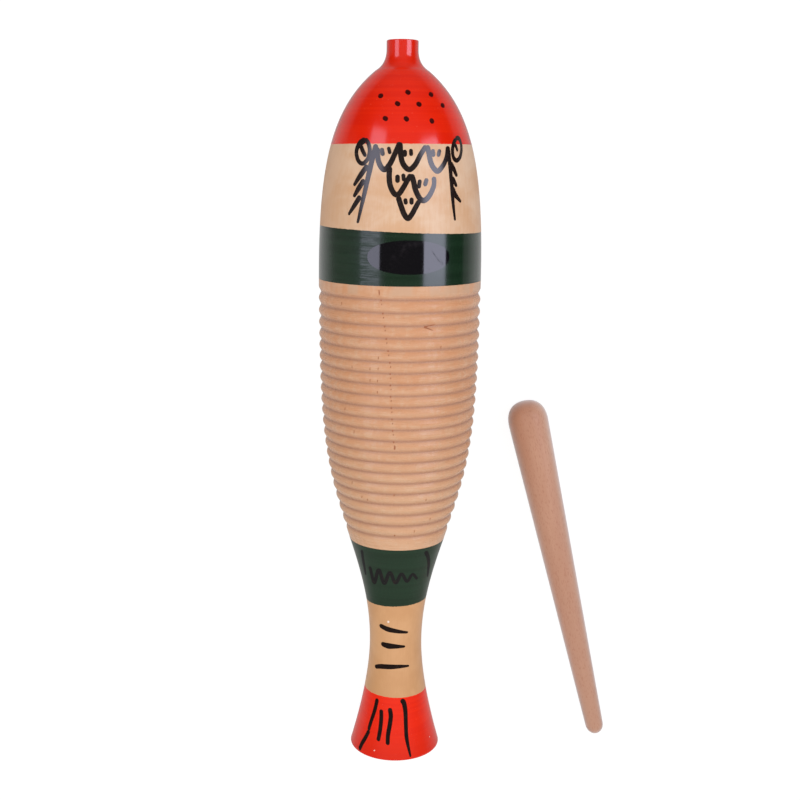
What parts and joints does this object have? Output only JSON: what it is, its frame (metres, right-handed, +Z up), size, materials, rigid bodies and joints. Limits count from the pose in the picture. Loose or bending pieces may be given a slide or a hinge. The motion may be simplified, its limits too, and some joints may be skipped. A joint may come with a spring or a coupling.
{
  "type": "fish guiro",
  "caption": "Turned wooden guiro in the shape of a fish: hollow head with an open mouth, barrel with scraping ribs, flared tail handle, and a loose tapered scraper stick.",
  "frame": {"origin": "middle of the footprint of the guiro and its scraper, on the ground they lie on", "axes": "+Z up, +Y from the tail towards the mouth, +X from the guiro towards the scraper"},
  "size_m": [0.1808, 0.4228, 0.0996],
  "materials": {
    "head_finish": "clear varnish with a red cap and a green band",
    "barrel_wood": "bare, smoothly turned",
    "tail_finish": "clear varnish with a green band and a red foot",
    "scraper_wood": "satin beech"
  },
  "bodies": {
    "guiro": {"head_shell": "head_finish", "ribbed_barrel": "barrel_wood", "tail_handle": "tail_finish"},
    "scraper": {"scraper": "scraper_wood"}
  },
  "joints": [
    {"name": "scraper_lift", "type": "slide", "parent": "guiro", "child": "scraper", "axis": [0, 0, 1], "range_m": [0, 0.15]}
  ]
}
